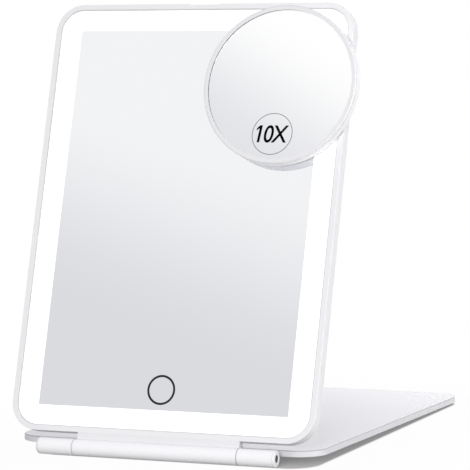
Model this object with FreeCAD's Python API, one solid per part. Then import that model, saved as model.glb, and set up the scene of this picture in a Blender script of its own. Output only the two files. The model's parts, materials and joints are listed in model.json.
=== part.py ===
import FreeCAD, Part

import math
import os

from FreeCAD import Vector

# Folding lighted mirror. The pieces are drawn closed: the hinge axis is the X axis, the panel lies
# face up under z = 0, and the lid lies over it. The panel is then swung open and the whole is stood
# on its hinge and feet. Lengths are millimetres, angles are degrees.

# Stance
lean_angle = 17.1
lid_slope = 0.8
rest_gap = 2.25
stop_gap = 0.35

# Panel outside
panel_width = 170.0
panel_height = 229.5
panel_thickness = 8.6
panel_corner = 15.0
back_edge_round = 1.8
shell_wall = 1.5
shell_floor = 1.4
fit_gap = 0.1

# Bezel
bezel_depth = 1.6
rim_width = 2.8
rim_edge_round = 0.4
shelf_reach = 5.0
shelf_thickness = 0.7
notch_width = 19.5
notch_run = 2.2
notch_depth = 1.2
seal_thickness = 0.3
seal_below_front = 0.15

# Mirror, light band and tray
glass_recess = 0.8
glass_thickness = 1.6
mirror_inset_side = 15.0
mirror_inset_top = 14.4
mirror_inset_bottom = 13.7
tray_flange = 2.0
tray_plate = 1.2
tray_wall = 1.0
lead_notch_width = 6.0
lead_notch_height = 1.6

# Lamps
strip_width = 4.0
strip_thickness = 0.8
strip_gap = 0.4
strip_end_gap = 4.0
chip_length = 2.8
chip_width = 2.0
chip_height = 0.7
chip_pitch = 8.4

# Electronics inside the panel
touch_from_bottom = 24.2
touch_from_middle = -1.1
touch_radius = 7.0
touch_pad_thickness = 0.4
touch_stem_radius = 1.5
board_gap = 1.2
board_thickness = 1.0
board_width = 44.0
board_below_touch = 9.0
board_above_touch = 23.0
board_post_radius = 1.8
board_pin_radius = 0.7
board_post_inset = 3.0
control_chip_size = 6.0
plug_block_length = 8.0
plug_block_width = 4.0
part_height = 1.0
battery_width = 60.0
battery_length = 90.0
battery_edge = 1.2
battery_swell_gap = 0.7
battery_to_board = 8.0
usb_from_bottom = 28.0
usb_width = 8.94
usb_height = 3.16
usb_depth = 7.35
usb_corner = 1.5
usb_skin = 0.3
usb_recess = 0.4
usb_tongue_width = 6.7
usb_tongue_thickness = 0.7
usb_tongue_length = 4.5
charge_board_thickness = 0.8
charge_board_length = 18.0
closure_magnet_length = 16.0
closure_magnet_width = 3.0
closure_magnet_height = 3.0
closure_from_side = 30.0
dock_radius = 18.0
dock_thickness = 0.8

# Barrel hinge
barrel_radius = 4.4
middle_relief = 0.05
middle_length = 91.5
knuckle_length = 19.0
washer_thickness = 0.5
end_play = 0.05
tongue_inset = 0.25
tongue_face_recess = 0.05
pin_radius = 2.0
pin_press = 0.01
pin_running = 0.03
bush_length = 13.0
bush_wall = 1.2
bush_slit = 0.8
washer_radius = 4.1
plug_radius = 3.2
plug_depth = 2.8
cap_length = 1.4
cap_round = 1.0
cap_recess_radius = 1.95
cap_recess_depth = 2.2
leaf_flange_width = 78.0
leaf_flange_thickness = 1.0
leaf_flange_gap = 0.25
leaf_screw_pitch = 22.0
leaf_screw_count = 4
arm_side_inset = 1.8
arm_floor = 0.3
arm_below_top = 0.1
arm_flange_reach = 14.0
arm_flange_thickness = 1.0
arm_screw_pitch = 8.0

# Countersunk screws
screw_radius = 1.0
screw_head_radius = 1.8
screw_head_height = 0.8
screw_boss_radius = 1.9
lid_screw_bite = 0.7

# Lid, which is also the stand
lid_thickness = 3.3
lid_top_wall = 1.2
lid_wall = 1.6
lid_ledge = 1.4
lid_bevel = 0.5
inner_panel_thickness = 1.0
foot_radius = 4.5
foot_taper = 0.5
foot_pocket = 0.6
foot_from_side = 17.0
foot_from_end = 13.0
keeper_length = 18.0
keeper_width = 5.0
keeper_thickness = 0.8

# Magnifier
magnifier_from_side = 34.9
magnifier_from_top = 45.3
magnifier_radius = 42.0
magnifier_height = 7.4
magnifier_lift = 0.25
magnifier_wall = 1.25
magnifier_floor = 1.2
magnifier_back_round = 1.2
magnifier_bezel_depth = 2.0
magnifier_lip = 0.4
magnifier_gasket = 0.5
magnifier_lip_reach = 0.5
magnifier_bevel = 0.8
magnifier_ledge = 1.4
magnifier_glass = 1.6
magnifier_curve_radius = 400.0
magnifier_magnet_radius = 10.0
magnifier_magnet_height = 1.2
pad_radius = 15.0
pad_thickness = 0.5
pad_proud = 0.3

# Levels and places that follow from the sizes above
opening_angle = 90.0 - lean_angle + lid_slope
opening_sine = math.sin(math.radians(opening_angle))
opening_cosine = math.cos(math.radians(opening_angle))
stop_reach = lid_thickness + rest_gap + back_edge_round
stop_reach += (panel_thickness - back_edge_round) * opening_cosine
panel_start = stop_reach / opening_sine - back_edge_round
panel_end = panel_start + panel_height
panel_middle = panel_start + panel_height / 2

panel_back = -panel_thickness
floor_top = panel_back + shell_floor
glass_top = -glass_recess
glass_back = glass_top - glass_thickness
shelf_bottom = glass_back - shelf_thickness
tray_under = glass_back - tray_plate
mirror_width = panel_width - 2 * mirror_inset_side
mirror_height = panel_height - mirror_inset_top - mirror_inset_bottom
mirror_middle = panel_start + mirror_inset_bottom + mirror_height / 2
tray_width = mirror_width + 2 * tray_flange
tray_height = mirror_height + 2 * tray_flange

strip_top = floor_top + strip_thickness
strip_side_x = tray_width / 2 + strip_gap + strip_width / 2
strip_end_y = tray_height / 2 + strip_gap + strip_width / 2
usb_y = panel_start + usb_from_bottom
side_strip_start = usb_y + charge_board_length / 2 + strip_end_gap
side_strip_end = mirror_middle + tray_height / 2 - strip_end_gap
end_strip_half = tray_width / 2 - strip_end_gap

touch_y = panel_start + touch_from_bottom
board_top = tray_under - board_gap
board_under = board_top - board_thickness
board_start = touch_y - board_below_touch
board_end = touch_y + board_above_touch
charge_board_top = floor_top + charge_board_thickness
usb_outer_x = -panel_width / 2 + usb_recess
usb_inner_x = usb_outer_x + usb_depth

middle_half = middle_length / 2
knuckle_inner = middle_half + end_play + washer_thickness
knuckle_outer = knuckle_inner + knuckle_length
middle_radius = barrel_radius - middle_relief
bush_bore = pin_radius + pin_running + bush_wall
flange_top = shelf_bottom - leaf_flange_gap
flange_under = flange_top - leaf_flange_thickness
leaf_screw_y = panel_start + shell_wall + screw_boss_radius
leaf_screw_row = [leaf_screw_pitch * (i - (leaf_screw_count - 1) / 2) for i in range(leaf_screw_count)]

lid_ceiling = lid_thickness - lid_top_wall
arm_flange_under = lid_ceiling - arm_flange_thickness
arm_inner = knuckle_inner + arm_side_inset
arm_outer = knuckle_outer - arm_side_inset
arm_middle = (arm_inner + arm_outer) / 2
arm_screw_row = [arm_middle - arm_screw_pitch / 2, arm_middle + arm_screw_pitch / 2]
arm_screw_y = panel_start + lid_wall + lid_ledge + arm_flange_reach / 2
foot_x = panel_width / 2 - foot_from_side
foot_y = panel_end - foot_from_end
closure_x = panel_width / 2 - closure_from_side
closure_y = panel_end - shell_wall - fit_gap - closure_magnet_width / 2

magnifier_x = panel_width / 2 - magnifier_from_side
magnifier_y = panel_end - magnifier_from_top
magnifier_front = magnifier_lift + magnifier_height
magnifier_back = magnifier_lift + pad_proud
magnifier_inside = magnifier_back + magnifier_floor
magnifier_joint = magnifier_front - magnifier_bezel_depth
magnifier_cavity = magnifier_radius - magnifier_wall
magnifier_glass_radius = magnifier_cavity - fit_gap
magnifier_lip_radius = magnifier_glass_radius - magnifier_lip_reach
magnifier_glass_edge = magnifier_front - magnifier_lip - magnifier_gasket

# The origin is under the middle of the whole object's box, at table height
reach_left = -panel_width / 2
reach_right = max(panel_width / 2, magnifier_x + magnifier_radius)
slope_sine = math.sin(math.radians(lid_slope))
slope_cosine = math.cos(math.radians(lid_slope))
reach_back = panel_end * slope_cosine + (lid_thickness - lid_bevel) * slope_sine
hinge_place = Vector(-(reach_left + reach_right) / 2, (barrel_radius - reach_back) / 2, barrel_radius)


def block(x_range, y_range, z_range):
    """Plain block between two values on each axis."""
    size = [high - low for low, high in (x_range, y_range, z_range)]
    return Part.makeBox(size[0], size[1], size[2], Vector(x_range[0], y_range[0], z_range[0]))


def edges_along(shape, axis):
    """Straight edges of a shape that run along an axis."""
    found = []
    for edge in shape.Edges:
        run = edge.Vertexes[-1].Point - edge.Vertexes[0].Point
        if run.Length > 0 and abs(run.normalize().dot(axis)) > 0.999:
            found.append(edge)
    return found


def edges_at(shape, level):
    """Edges of a shape that lie at one height."""
    box_of = [(edge, edge.BoundBox) for edge in shape.Edges]
    return [e for e, b in box_of if abs(b.ZMin - level) < 1e-4 and abs(b.ZMax - level) < 1e-4]


def plate(width, length, corner, z_range, middle=panel_middle):
    """Flat plate with rounded corners, centred on the panel's middle line."""
    body = block((-width / 2, width / 2), (middle - length / 2, middle + length / 2), z_range)
    return body.makeFillet(corner, edges_along(body, Vector(0, 0, 1)))


def inset_plate(inset, z_range):
    """The panel's outline, drawn in by an inset on every side."""
    return plate(panel_width - 2 * inset, panel_height - 2 * inset, panel_corner - inset, z_range)


def mirror_block(width, height, z_range):
    """Square-cornered block of the mirror or behind it, centred on the mirror."""
    y_range = (mirror_middle - height / 2, mirror_middle + height / 2)
    return block((-width / 2, width / 2), y_range, z_range)


def post(x, y, radius, z_range):
    """Upright cylinder."""
    return Part.makeCylinder(radius, z_range[1] - z_range[0], Vector(x, y, z_range[0]))


def rod(radius, x_range):
    """Cylinder along the hinge axis."""
    return Part.makeCylinder(radius, x_range[1] - x_range[0], Vector(x_range[0], 0, 0), Vector(1, 0, 0))


def spun(outline, x=0.0, y=0.0):
    """Solid turned about an upright axis from (radius, height) points."""
    points = [Vector(radius, 0, height) for radius, height in outline]
    face = Part.Face(Part.makePolygon(points + points[:1]))
    solid = face.revolve(Vector(0, 0, 0), Vector(0, 0, 1), 360)
    solid.translate(Vector(x, y, 0))
    return solid


def left_of(shape):
    """Mirror image on the left side of the hinge."""
    return shape.mirror(Vector(0, 0, 0), Vector(1, 0, 0))


def screw(x, y, head_level, tip_level):
    """Countersunk screw, with its flat head at one level and its tip at the other."""
    way = 1 if tip_level > head_level else -1
    neck = head_level + way * screw_head_height
    outline = [(0, head_level), (screw_head_radius, head_level), (screw_radius, neck)]
    outline += [(screw_radius, tip_level), (0, tip_level)]
    return spun(outline, x, y)


def screw_room(x, y, head_level, tip_level):
    """Countersunk hole for a screw, a clearance wider all round."""
    way = 1 if tip_level > head_level else -1
    neck = head_level + way * screw_head_height
    outline = [(0, head_level), (screw_head_radius + fit_gap, head_level), (screw_radius + fit_gap, neck)]
    outline += [(screw_radius + fit_gap, tip_level), (0, tip_level)]
    return spun(outline, x, y)


# Panel pieces

def board_posts():
    """Places of the posts that carry the control board."""
    side = board_width / 2 - board_post_inset
    rows = (board_start + board_post_inset, board_end - board_post_inset)
    return [(x, y) for x in (-side, side) for y in rows]


def usb_room(gap, x_range):
    """Rounded bar of the charging socket's section, a gap wider all round."""
    y_range = (usb_y - usb_width / 2 - gap, usb_y + usb_width / 2 + gap)
    bar = block(x_range, y_range, (charge_board_top - gap, charge_board_top + usb_height + gap))
    return bar.makeFillet(usb_corner + gap, edges_along(bar, Vector(1, 0, 0)))


def rear_shell():
    """Tray-shaped back with screw bosses, board posts, the leaf's slot and the charging slot."""
    shell = inset_plate(0, (panel_back, -bezel_depth))
    shell = shell.makeFillet(back_edge_round, edges_at(shell, panel_back))
    shell = shell.cut(inset_plate(shell_wall, (floor_top, 0)))
    for x in leaf_screw_row:
        shell = shell.fuse(post(x, leaf_screw_y, screw_boss_radius, (floor_top, flange_under)))
    for x, y in board_posts():
        shell = shell.fuse(post(x, y, board_post_radius, (floor_top, board_under)))
        shell = shell.fuse(post(x, y, board_pin_radius, (board_under, board_top)))
    for x in leaf_screw_row:
        shell = shell.cut(post(x, leaf_screw_y, screw_radius, (floor_top, flange_under)))
    flange_half = leaf_flange_width / 2 + fit_gap
    wall_range = (panel_start, panel_start + shell_wall)
    slot_range = (flange_under - fit_gap, flange_top + fit_gap)
    shell = shell.cut(block((-flange_half, flange_half), wall_range, slot_range))
    socket_hole = usb_room(fit_gap, (-panel_width / 2, -panel_width / 2 + shell_wall + usb_corner))
    return shell.cut(socket_hole).removeSplitter()


def thumb_notch():
    """Scoop in the middle of the panel's top edge, with sloped ends."""
    half = notch_width / 2
    corners = [(-half, panel_end), (-half + notch_run, panel_end - notch_depth)]
    corners += [(half - notch_run, panel_end - notch_depth), (half, panel_end)]
    points = [Vector(x, y, -bezel_depth) for x, y in corners]
    face = Part.Face(Part.makePolygon(points + points[:1]))
    return face.extrude(Vector(0, 0, bezel_depth))


def front_bezel():
    """Rim round the front, with a spigot inside the shell and a shelf under the light band."""
    bezel = inset_plate(0, (-bezel_depth, 0))
    bezel = bezel.makeFillet(rim_edge_round, edges_at(bezel, 0))
    bezel = bezel.fuse(inset_plate(shell_wall + fit_gap, (shelf_bottom, -bezel_depth)))
    bezel = bezel.cut(inset_plate(rim_width, (glass_back, 0)))
    bezel = bezel.cut(inset_plate(shelf_reach, (shelf_bottom, glass_back)))
    bezel = bezel.cut(thumb_notch())
    return bezel.cut(usb_room(fit_gap, (usb_outer_x, usb_inner_x + fit_gap))).removeSplitter()


def light_seal():
    """Thin soft frame that lines the rim, so that light from the band doesn't leak into it."""
    z_range = (glass_back, -seal_below_front)
    return inset_plate(rim_width, z_range).cut(inset_plate(rim_width + seal_thickness, z_range))


def light_diffuser():
    """Opal frame between the rim and the mirror, which the lamps shine through."""
    frame = inset_plate(rim_width + seal_thickness + fit_gap, (glass_back, glass_top))
    hole = mirror_block(mirror_width + fit_gap, mirror_height + fit_gap, (glass_back, glass_top))
    return frame.cut(hole)


def mirror_glass():
    """Silvered glass, flush with the light band."""
    return mirror_block(mirror_width, mirror_height, (glass_back, glass_top))


def mirror_tray():
    """Open box that carries the mirror and the band's inner edge, and keeps the light outside it."""
    tray = mirror_block(tray_width, tray_height, (floor_top, glass_back))
    inside_width = tray_width - 2 * tray_wall
    inside_height = tray_height - 2 * tray_wall
    tray = tray.cut(mirror_block(inside_width, inside_height, (floor_top, tray_under)))
    tray = tray.cut(post(touch_from_middle, touch_y, touch_radius + fit_gap, (tray_under, glass_back)))
    notch_y = (usb_y - lead_notch_width / 2, usb_y + lead_notch_width / 2)
    notch_z = (floor_top, floor_top + lead_notch_height)
    for side in (-1, 1):
        edge = side * tray_width / 2
        notch_x = (edge - tray_wall, edge + tray_wall)
        tray = tray.cut(block(notch_x, notch_y, notch_z))
    return tray


def side_strip(side):
    """Lamp board along one long side, on the shell's floor."""
    x = side * strip_side_x
    x_range = (x - strip_width / 2, x + strip_width / 2)
    return block(x_range, (side_strip_start, side_strip_end), (floor_top, strip_top))


def end_strip(side):
    """Lamp board along the top or the bottom, on the shell's floor."""
    y = mirror_middle + side * strip_end_y
    y_range = (y - strip_width / 2, y + strip_width / 2)
    return block((-end_strip_half, end_strip_half), y_range, (floor_top, strip_top))


def spread(low, high):
    """Even places for lamps between two ends of a strip."""
    count = int((high - low) // chip_pitch)
    step = (high - low) / count
    return [low + step * (i + 0.5) for i in range(count)]


def led_chips():
    """Every lamp, on top of the four strips."""
    z_range = (strip_top, strip_top + chip_height)
    half_length = chip_length / 2
    half_width = chip_width / 2
    chips = []
    for side in (-1, 1):
        x = side * strip_side_x
        for y in spread(side_strip_start, side_strip_end):
            y_range = (y - half_length, y + half_length)
            chips.append(block((x - half_width, x + half_width), y_range, z_range))
        y = mirror_middle + side * strip_end_y
        for x in spread(-end_strip_half, end_strip_half):
            x_range = (x - half_length, x + half_length)
            chips.append(block(x_range, (y - half_width, y + half_width), z_range))
    return Part.makeCompound(chips)


def control_board():
    """Circuit board on its posts, with the touch chip and two plug blocks underneath."""
    half = board_width / 2
    board = block((-half, half), (board_start, board_end), (board_under, board_top))
    for x, y in board_posts():
        board = board.cut(post(x, y, board_pin_radius + fit_gap, (board_under, board_top)))
    part_z = (board_under - part_height, board_under)
    chip_half = control_chip_size / 2
    chip_x = (touch_from_middle - chip_half, touch_from_middle + chip_half)
    chip = block(chip_x, (touch_y - chip_half, touch_y + chip_half), part_z)
    board = board.fuse(chip)
    plug_y = (board_end - board_post_inset - plug_block_width, board_end - board_post_inset)
    for x in (-plug_block_length, plug_block_length):
        plug_x = (x - plug_block_length / 2, x + plug_block_length / 2)
        board = board.fuse(block(plug_x, plug_y, part_z))
    return board


def touch_electrode():
    """Touch pad on the back of the glass, with a stem down to the control board."""
    pad_under = glass_back - touch_pad_thickness
    pad = post(touch_from_middle, touch_y, touch_radius, (pad_under, glass_back))
    return pad.fuse(post(touch_from_middle, touch_y, touch_stem_radius, (board_top, pad_under)))


def battery_cell():
    """Flat cell on the shell's floor, with room above it to swell."""
    y = board_end + battery_to_board
    half = battery_width / 2
    z_range = (floor_top, tray_under - battery_swell_gap)
    cell = block((-half, half), (y, y + battery_length), z_range)
    return cell.makeFillet(battery_edge, edges_along(cell, Vector(0, 1, 0)))


def charge_board():
    """Small board on the shell's floor under the charging socket."""
    y_range = (usb_y - charge_board_length / 2, usb_y + charge_board_length / 2)
    x_range = (-panel_width / 2 + shell_wall + fit_gap, usb_inner_x)
    return block(x_range, y_range, (floor_top, charge_board_top))


def usb_socket():
    """Charging socket: a rounded metal sleeve with a contact tongue inside."""
    sleeve = usb_room(0, (usb_outer_x, usb_inner_x))
    room = usb_room(-usb_skin, (usb_outer_x, usb_inner_x - usb_skin))
    sleeve = sleeve.cut(room)
    middle = charge_board_top + usb_height / 2
    y_range = (usb_y - usb_tongue_width / 2, usb_y + usb_tongue_width / 2)
    z_range = (middle - usb_tongue_thickness / 2, middle + usb_tongue_thickness / 2)
    x_range = (usb_inner_x - usb_skin - usb_tongue_length, usb_inner_x)
    return sleeve.fuse(block(x_range, y_range, z_range)).removeSplitter()


def closure_magnets():
    """Bar magnets by the top wall, which hold the lid shut."""
    half = closure_magnet_length / 2
    y_range = (closure_y - closure_magnet_width / 2, closure_y + closure_magnet_width / 2)
    z_range = (floor_top, floor_top + closure_magnet_height)
    bars = [block((x - half, x + half), y_range, z_range) for x in (-closure_x, closure_x)]
    return Part.makeCompound(bars)


def dock_plate():
    """Steel disc under the tray, which the magnifier's magnet holds to."""
    return post(magnifier_x, magnifier_y, dock_radius, (tray_under - dock_thickness, tray_under))


def panel_hinge_leaf():
    """Middle barrel, the tongue up to the panel, and the flange screwed inside it."""
    tongue_half = middle_half - tongue_inset
    leaf = rod(middle_radius, (-middle_half, middle_half))
    tongue = block((-tongue_half, tongue_half), (0, panel_start), (-middle_radius, -tongue_face_recess))
    flange_half = leaf_flange_width / 2
    flange_end = leaf_screw_y + screw_boss_radius
    flange = block((-flange_half, flange_half), (barrel_radius, flange_end), (flange_under, flange_top))
    leaf = leaf.fuse([tongue, flange])
    bore_end = middle_half - bush_length - end_play
    leaf = leaf.cut(rod(bush_bore, (bore_end, middle_half)))
    leaf = leaf.cut(rod(bush_bore, (-middle_half, -bore_end)))
    for x in leaf_screw_row:
        leaf = leaf.cut(screw_room(x, leaf_screw_y, flange_top, flange_under))
    return leaf.removeSplitter()


def friction_bush():
    """Split sleeve in the middle barrel's right end, which grips the pin."""
    x_range = (middle_half - bush_length, middle_half)
    sleeve = rod(bush_bore - pin_press, x_range).cut(rod(pin_radius + pin_running, x_range))
    slit = block(x_range, (-bush_slit / 2, bush_slit / 2), (0, bush_bore))
    return sleeve.cut(slit)


def leaf_screws():
    """Screws through the leaf's flange into the shell's bosses."""
    tip = floor_top + fit_gap
    return Part.makeCompound([screw(x, leaf_screw_y, flange_top, tip) for x in leaf_screw_row])


# Lid pieces

def arm_screw_places():
    """Places of the screws that hold both knuckles to the lid."""
    return [(side * x, arm_screw_y) for side in (-1, 1) for x in arm_screw_row]


def foot_places():
    """Places of the feet, near the far corners of the lid."""
    return [(-foot_x, foot_y), (foot_x, foot_y)]


def lid_body():
    """The lid's outside, with its bevelled top edge."""
    body = inset_plate(0, (0, lid_thickness))
    return body.makeChamfer(lid_bevel, edges_at(body, lid_thickness))


def lid_outer_shell():
    """Lid, hollow from inside, with a ledge for its inner panel."""
    lid = lid_body().cut(inset_plate(lid_wall, (0, inner_panel_thickness)))
    lid = lid.cut(inset_plate(lid_wall + lid_ledge, (inner_panel_thickness, lid_ceiling)))
    slot_x = (arm_inner - fit_gap, arm_outer + fit_gap)
    slot_y = (panel_start, panel_start + lid_wall + lid_ledge)
    slot = block(slot_x, slot_y, (arm_flange_under - fit_gap, lid_ceiling))
    lid = lid.cut([slot, left_of(slot)])
    for x, y in arm_screw_places():
        lid = lid.cut(post(x, y, screw_radius, (lid_ceiling, lid_ceiling + lid_screw_bite)))
    return lid.removeSplitter()


def lid_inner_panel():
    """Lining that closes the lid's inside, with pockets for the feet."""
    lining = inset_plate(lid_wall + fit_gap, (0, inner_panel_thickness))
    for x, y in foot_places():
        lining = lining.cut(post(x, y, foot_radius + fit_gap, (0, foot_pocket)))
    return lining


def hinge_knuckle():
    """Right end of the barrel, with an arm up to the lid's bevel and a flange inside the lid."""
    knuckle = rod(barrel_radius, (knuckle_inner, knuckle_outer))
    arm_top = min(lid_thickness - arm_below_top, barrel_radius)
    arm = block((arm_inner, arm_outer), (0, panel_start + lid_bevel), (arm_floor, arm_top))
    arm = arm.cut(lid_body())
    flange_end = panel_start + lid_wall + lid_ledge + arm_flange_reach
    flange = block((arm_inner, arm_outer), (0, flange_end), (arm_flange_under, lid_ceiling))
    knuckle = knuckle.fuse([arm, flange])
    knuckle = knuckle.cut(rod(pin_radius, (knuckle_inner, knuckle_outer)))
    knuckle = knuckle.cut(rod(plug_radius, (knuckle_outer - plug_depth - fit_gap, knuckle_outer)))
    for x in arm_screw_row:
        knuckle = knuckle.cut(screw_room(x, arm_screw_y, arm_flange_under, lid_ceiling))
    return knuckle.removeSplitter()


def hinge_pin():
    """Right pin, pressed into the knuckle and turning in the friction bush."""
    inner = middle_half - bush_length + end_play
    outer = knuckle_outer - plug_depth - fit_gap
    return rod(pin_radius - pin_press, (inner, outer))


def hinge_end_plug():
    """Rounded cap with a recess, plugged into the knuckle's outer end."""
    cap_end = knuckle_outer + cap_length
    cap = rod(barrel_radius, (knuckle_outer, cap_end))
    outer_edge = [e for e in cap.Edges if abs(e.BoundBox.XMin - cap_end) < 1e-4]
    cap = cap.makeFillet(cap_round, outer_edge)
    cap = cap.fuse(rod(plug_radius - pin_press, (knuckle_outer - plug_depth, knuckle_outer)))
    return cap.cut(rod(cap_recess_radius, (cap_end - cap_recess_depth, cap_end))).removeSplitter()


def thrust_washers():
    """Washers between the middle barrel and the two knuckles."""
    x_range = (knuckle_inner - washer_thickness, knuckle_inner)
    washer = rod(washer_radius, x_range).cut(rod(pin_radius + pin_running, x_range))
    return Part.makeCompound([washer, left_of(washer)])


def rubber_feet():
    """Tapered feet in the lining's pockets, long enough to reach below the table line."""
    reach = -2 * barrel_radius
    sole_radius = foot_radius - foot_taper
    outline = [(0, reach), (sole_radius, reach), (sole_radius, -foot_taper)]
    outline += [(foot_radius, 0), (foot_radius, foot_pocket), (0, foot_pocket)]
    return Part.makeCompound([spun(outline, x, y) for x, y in foot_places()])


def keeper_plates():
    """Steel bars inside the lid, over the closure magnets."""
    half = keeper_length / 2
    y_end = panel_end - lid_wall - lid_ledge - fit_gap
    z_range = (lid_ceiling - keeper_thickness, lid_ceiling)
    y_range = (y_end - keeper_width, y_end)
    bars = [block((x - half, x + half), y_range, z_range) for x in (-closure_x, closure_x)]
    return Part.makeCompound(bars)


def lid_screws():
    """Screws through the knuckles' flanges into the lid."""
    tip = lid_ceiling + lid_screw_bite
    return Part.makeCompound([screw(x, y, arm_flange_under, tip) for x, y in arm_screw_places()])


# Magnifier pieces

def bowl_height(radius):
    """Height of the concave mirror's face above its deepest point."""
    curve = magnifier_curve_radius
    return curve - math.sqrt(curve ** 2 - radius ** 2)


def magnifier_housing():
    """Round cup with a rounded back edge, a ledge for the mirror and a recess for the pad."""
    ledge_radius = magnifier_glass_radius - magnifier_ledge
    ledge_drop = bowl_height(magnifier_glass_radius) - bowl_height(ledge_radius)
    ledge_top = magnifier_glass_edge - magnifier_glass - ledge_drop
    outline = [(pad_radius + fit_gap, magnifier_back), (magnifier_radius, magnifier_back)]
    outline += [(magnifier_radius, magnifier_joint), (magnifier_cavity, magnifier_joint)]
    outline += [(magnifier_cavity, ledge_top), (ledge_radius, ledge_top)]
    outline += [(ledge_radius, magnifier_inside), (0, magnifier_inside)]
    recess = magnifier_lift + pad_thickness
    outline += [(0, recess), (pad_radius + fit_gap, recess)]
    cup = spun(outline)
    rim = [e for e in edges_at(cup, magnifier_back) if e.BoundBox.XMax > magnifier_radius - fit_gap]
    cup = cup.makeFillet(magnifier_back_round, rim)
    cup.translate(Vector(magnifier_x, magnifier_y, 0))
    return cup


def magnifier_bezel():
    """Bevelled ring over the mirror's edge."""
    lip_under = magnifier_front - magnifier_lip
    outline = [(magnifier_cavity, magnifier_joint), (magnifier_radius, magnifier_joint)]
    outline += [(magnifier_radius, magnifier_front - magnifier_bevel)]
    outline += [(magnifier_radius - magnifier_bevel, magnifier_front)]
    outline += [(magnifier_lip_radius, magnifier_front), (magnifier_lip_radius, lip_under)]
    outline += [(magnifier_cavity, lip_under)]
    return spun(outline, magnifier_x, magnifier_y)


def magnifier_edge_gasket():
    """Dark soft ring between the mirror's edge and the bezel's lip."""
    z_range = (magnifier_glass_edge, magnifier_front - magnifier_lip)
    ring = post(magnifier_x, magnifier_y, magnifier_glass_radius, z_range)
    return ring.cut(post(magnifier_x, magnifier_y, magnifier_lip_radius, z_range))


def magnifier_mirror():
    """Concave glass of even thickness."""
    edge = magnifier_glass_radius
    deep = magnifier_glass_edge - bowl_height(edge)
    half_way = edge / 2
    rises = [(0, 0), (half_way, bowl_height(half_way)), (edge, bowl_height(edge))]
    front = [Vector(radius, 0, deep + rise) for radius, rise in rises]
    back = [point - Vector(0, 0, magnifier_glass) for point in front]
    sides = [Part.Arc(*front).toShape(), Part.makeLine(front[2], back[2])]
    sides += [Part.Arc(*back).toShape(), Part.makeLine(back[0], front[0])]
    face = Part.Face(Part.Wire(Part.__sortEdges__(sides)))
    glass = face.revolve(Vector(0, 0, 0), Vector(0, 0, 1), 360)
    glass.translate(Vector(magnifier_x, magnifier_y, 0))
    return glass


def magnifier_magnet():
    """Disc magnet on the floor of the housing."""
    z_range = (magnifier_inside, magnifier_inside + magnifier_magnet_height)
    return post(magnifier_x, magnifier_y, magnifier_magnet_radius, z_range)


def magnifier_pad():
    """Soft pad in the back, which lies on the panel's front."""
    return post(magnifier_x, magnifier_y, pad_radius, (magnifier_lift, magnifier_lift + pad_thickness))


panel_pieces = {
    "rear_shell": rear_shell(),
    "front_bezel": front_bezel(),
    "light_seal": light_seal(),
    "light_diffuser": light_diffuser(),
    "mirror_glass": mirror_glass(),
    "mirror_tray": mirror_tray(),
    "led_strip_left": side_strip(-1),
    "led_strip_right": side_strip(1),
    "led_strip_bottom": end_strip(-1),
    "led_strip_top": end_strip(1),
    "led_chips": led_chips(),
    "control_board": control_board(),
    "touch_electrode": touch_electrode(),
    "battery_cell": battery_cell(),
    "charge_board": charge_board(),
    "usb_socket": usb_socket(),
    "closure_magnets": closure_magnets(),
    "dock_plate": dock_plate(),
    "panel_hinge_leaf": panel_hinge_leaf(),
    "friction_bush_left": left_of(friction_bush()),
    "friction_bush_right": friction_bush(),
    "leaf_screws": leaf_screws(),
    "magnifier_housing": magnifier_housing(),
    "magnifier_bezel": magnifier_bezel(),
    "magnifier_gasket": magnifier_edge_gasket(),
    "magnifier_mirror": magnifier_mirror(),
    "magnifier_magnet": magnifier_magnet(),
    "magnifier_pad": magnifier_pad(),
}

lid_pieces = {
    "lid_outer_shell": lid_outer_shell(),
    "lid_inner_panel": lid_inner_panel(),
    "hinge_knuckle_left": left_of(hinge_knuckle()),
    "hinge_knuckle_right": hinge_knuckle(),
    "hinge_pin_left": left_of(hinge_pin()),
    "hinge_pin_right": hinge_pin(),
    "hinge_end_plug_left": left_of(hinge_end_plug()),
    "hinge_end_plug_right": hinge_end_plug(),
    "thrust_washers": thrust_washers(),
    "rubber_feet": rubber_feet(),
    "keeper_plates": keeper_plates(),
    "lid_screws": lid_screws(),
}


def stop_angle():
    """How far the panel leans back from its stance until its lower edge is a stop gap from the lid."""
    reach = panel_start + back_edge_round
    drop = panel_thickness - back_edge_round
    needed = lid_thickness + stop_gap + back_edge_round
    turned = math.asin(needed / math.hypot(reach, drop)) + math.atan2(drop, reach)
    return opening_angle - math.degrees(turned)


def stood(shape, turn):
    """A piece turned about the hinge and moved to its place above the table."""
    placed = shape.copy()
    placed.rotate(Vector(0, 0, 0), Vector(1, 0, 0), turn)
    placed.translate(hinge_place)
    return placed


pieces = {name: stood(shape, 90 - lean_angle) for name, shape in panel_pieces.items()}
pieces.update({name: stood(shape, -lid_slope) for name, shape in lid_pieces.items()})

# The feet are cut flat where they meet the table
far = 2 * (panel_width + panel_height)
under_table = block((-far, far), (-far, far), (-far, 0))
pieces["rubber_feet"] = pieces["rubber_feet"].cut(under_table)

os.makedirs("parts", exist_ok=True)
for name, shape in pieces.items():
    shape.exportStep(os.path.join("parts", name + ".step"))

print("pieces", len(pieces))
print("hinge axis", hinge_place)
print("panel start and end", panel_start, panel_end)
print("stop angle", stop_angle())
for x, y in foot_places():
    foot_centre = stood(Part.Vertex(x, y, 0), -lid_slope).Point
    print("foot centre", foot_centre)
socket_mouth = Part.Vertex(usb_outer_x, usb_y, charge_board_top + usb_height / 2)
print("charging socket", stood(socket_mouth, 90 - lean_angle).Point)
print("magnifier centre", stood(Part.Vertex(magnifier_x, magnifier_y, 0), 90 - lean_angle).Point)
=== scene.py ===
# %% [markdown]
# # A folding lighted mirror
# A thin panel holds a mirror inside a lit band, a lid of the same size is its stand, and a round
# magnifier clings to the front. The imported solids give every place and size. Each cell below shapes one
# piece over them, gives it a finish, and lets it ride on the solid's body.

# %% Load the solids
import json
import math

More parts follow.
